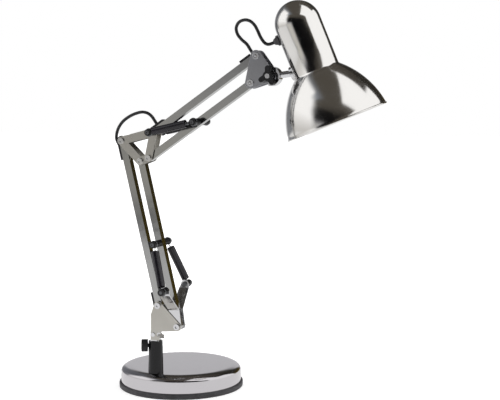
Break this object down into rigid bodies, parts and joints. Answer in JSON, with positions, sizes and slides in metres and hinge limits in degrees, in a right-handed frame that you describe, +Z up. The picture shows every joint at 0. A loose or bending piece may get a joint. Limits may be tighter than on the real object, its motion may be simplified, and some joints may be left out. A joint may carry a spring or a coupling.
{
  "type": "desk lamp",
  "caption": "Balanced-arm desk lamp: jointed parallelogram arms with sleeved tension springs carry a tilting bell shade over a round weighted base.",
  "frame": {"origin": "centre of the round base's underside, on the table", "axes": "+Z up, +X the way the arms lean and the shade points, +Y from the arms' plane towards the base's centre"},
  "size_m": [0.3838, 0.2635, 0.4989],
  "materials": {
    "chrome": "polished chrome plate on steel",
    "satin_plate": "satin nickel-like plate on steel",
    "rubber": "moulded, satin",
    "felt": "pressed felt",
    "iron": "rough casting",
    "black_enamel": "gloss enamel",
    "black_knob": "moulded, slightly glossy",
    "black_plastic": "moulded",
    "sleeve": "glossy tube",
    "spring_steel": "drawn wire",
    "holder": "moulded",
    "opal_glass": "opal, satin",
    "flex": "extruded sheath",
    "plug": "moulded"
  },
  "bodies": {
    "base": {"base_shell": "chrome", "base_rim": "rubber", "base_weight": "iron", "base_pad": "felt", "socket_tube": "black_enamel", "socket_nut": "satin_plate", "cable_grommet": "rubber", "flex_base": "flex", "lead_run": "flex", "lead_coil": "flex", "lead_tail": "flex", "plug": "plug"},
    "thumb_screw": {"thumb_knob": "black_knob"},
    "bracket": {"stem_pin": "chrome", "stem_rivets": "chrome", "foot_bracket": "chrome", "spring_ears": "chrome", "foot_bolts": "chrome", "ear_pins": "chrome", "ear_spools": "black_plastic", "flex_foot": "flex"},
    "rear_arm": {"rear_bar": "chrome", "rear_clips": "black_plastic", "flex_lower": "flex"},
    "front_arm": {"front_bar": "chrome", "front_crossbar": "chrome", "front_spools": "black_plastic"},
    "lower_sleeve_pair": {"lower_sleeves": "sleeve", "lower_eyes": "spring_steel"},
    "lower_spring_pair": {"lower_springs": "spring_steel"},
    "elbow": {"elbow_plates": "satin_plate", "elbow_bolts": "chrome", "elbow_washers": "black_plastic", "elbow_crossbar": "chrome", "elbow_spools": "black_plastic", "flex_elbow": "flex"},
    "top_arm": {"top_bar": "chrome", "top_clips": "black_plastic", "flex_upper": "flex"},
    "under_arm": {"under_bar": "chrome", "under_crossbar": "chrome", "under_spools": "black_plastic"},
    "upper_sleeve_pair": {"upper_sleeves": "sleeve", "upper_eyes": "spring_steel"},
    "upper_spring_pair": {"upper_springs": "spring_steel"},
    "head_bracket": {"head_plates": "satin_plate", "head_eyelets": "chrome", "clamp_bolt": "chrome", "flex_head": "flex"},
    "wing_screw": {"wing_knob": "black_knob"},
    "clamp": {"tilt_clamp": "chrome"},
    "head": {"swivel_stud": "chrome", "stud_nuts": "satin_plate", "saddle_washer": "chrome", "shade": "chrome", "holder_bracket": "satin_plate", "lamp_holder": "holder", "bulb": "opal_glass", "flex_gland": "rubber"}
  },
  "joints": [
    {"name": "base_swivel", "type": "hinge", "parent": "base", "child": "bracket", "pos_m": [-0.0095, -0.06, 0.071], "axis": [0, 0, 1], "range_deg": [-170, 170]},
    {"name": "thumb_turn", "type": "hinge", "parent": "base", "child": "thumb_screw", "pos_m": [-0.0095, -0.06, 0.0646], "axis": [-0.9272, -0.3746, 0], "continuous": true},
    {"name": "lower_arm", "type": "hinge", "parent": "bracket", "child": "rear_arm", "pos_m": [-0.0027, -0.06, 0.118], "axis": [0, 1, 0], "range_deg": [-16, 35], "deforming": ["lower_springs", "flex_foot"]},
    {"name": "front_link", "type": "hinge", "parent": "bracket", "child": "front_arm", "pos_m": [0.0237, -0.06, 0.0922], "axis": [0, 1, 0], "range_deg": [-16.5, 35.5]},
    {"name": "lower_sleeve_turn", "type": "hinge", "parent": "bracket", "child": "lower_sleeve_pair", "pos_m": [0.0185, -0.06, 0.1415], "axis": [0, 1, 0], "range_deg": [-29, 62]},
    {"name": "lower_spring_turn", "type": "hinge", "parent": "front_arm", "child": "lower_spring_pair", "pos_m": [-0.00142, -0.06, 0.19806], "axis": [0, 1, 0], "range_deg": [-13, 27]},
    {"name": "elbow_level", "type": "hinge", "parent": "rear_arm", "child": "elbow", "pos_m": [-0.05257, -0.06, 0.32816], "axis": [0, 1, 0], "range_deg": [-35.5, 16.5]},
    {"name": "upper_arm", "type": "hinge", "parent": "elbow", "child": "top_arm", "pos_m": [-0.00737, -0.06, 0.33946], "axis": [0, 1, 0], "range_deg": [-8, 28], "deforming": ["upper_springs", "flex_elbow"]},
    {"name": "under_link", "type": "hinge", "parent": "elbow", "child": "under_arm", "pos_m": [-0.01457, -0.06, 0.30666], "axis": [0, 1, 0], "range_deg": [-8.5, 28.5]},
    {"name": "upper_sleeve_turn", "type": "hinge", "parent": "elbow", "child": "upper_sleeve_pair", "pos_m": [-0.00737, -0.06, 0.33946], "axis": [0, 1, 0], "range_deg": [-10, 32.5]},
    {"name": "upper_spring_turn", "type": "hinge", "parent": "under_arm", "child": "upper_spring_pair", "pos_m": [0.05317, -0.06, 0.35287], "axis": [0, 1, 0], "range_deg": [-2, 5]},
    {"name": "head_level", "type": "hinge", "parent": "top_arm", "child": "head_bracket", "pos_m": [0.13042, -0.06, 0.43346], "axis": [0, 1, 0], "range_deg": [-28.5, 8.5]},
    {"name": "wing_turn", "type": "hinge", "parent": "head_bracket", "child": "wing_screw", "pos_m": [0.14882, -0.06, 0.40866], "axis": [0, -1, 0], "continuous": true},
    {"name": "head_tilt", "type": "hinge", "parent": "head_bracket", "child": "clamp", "pos_m": [0.14882, -0.06, 0.40866], "axis": [0, 1, 0], "range_deg": [-30, 45], "deforming": ["flex_head"]},
    {"name": "head_roll", "type": "hinge", "parent": "clamp", "child": "head", "pos_m": [0.14882, -0.06, 0.40866], "axis": [0.9925, 0, 0.1219], "range_deg": [-60, 60]}
  ],
  "couplings": [
    {"joint": "front_link", "follows": "lower_arm", "ratio": 1},
    {"joint": "elbow_level", "follows": "lower_arm", "ratio": -1},
    {"joint": "lower_sleeve_turn", "follows": "lower_arm", "ratio": 1.761},
    {"joint": "lower_spring_turn", "follows": "lower_arm", "ratio": 0.761},
    {"joint": "under_link", "follows": "upper_arm", "ratio": 1},
    {"joint": "head_level", "follows": "upper_arm", "ratio": -1},
    {"joint": "upper_sleeve_turn", "follows": "upper_arm", "ratio": 1.13},
    {"joint": "upper_spring_turn", "follows": "upper_arm", "ratio": 0.13}
  ]
}
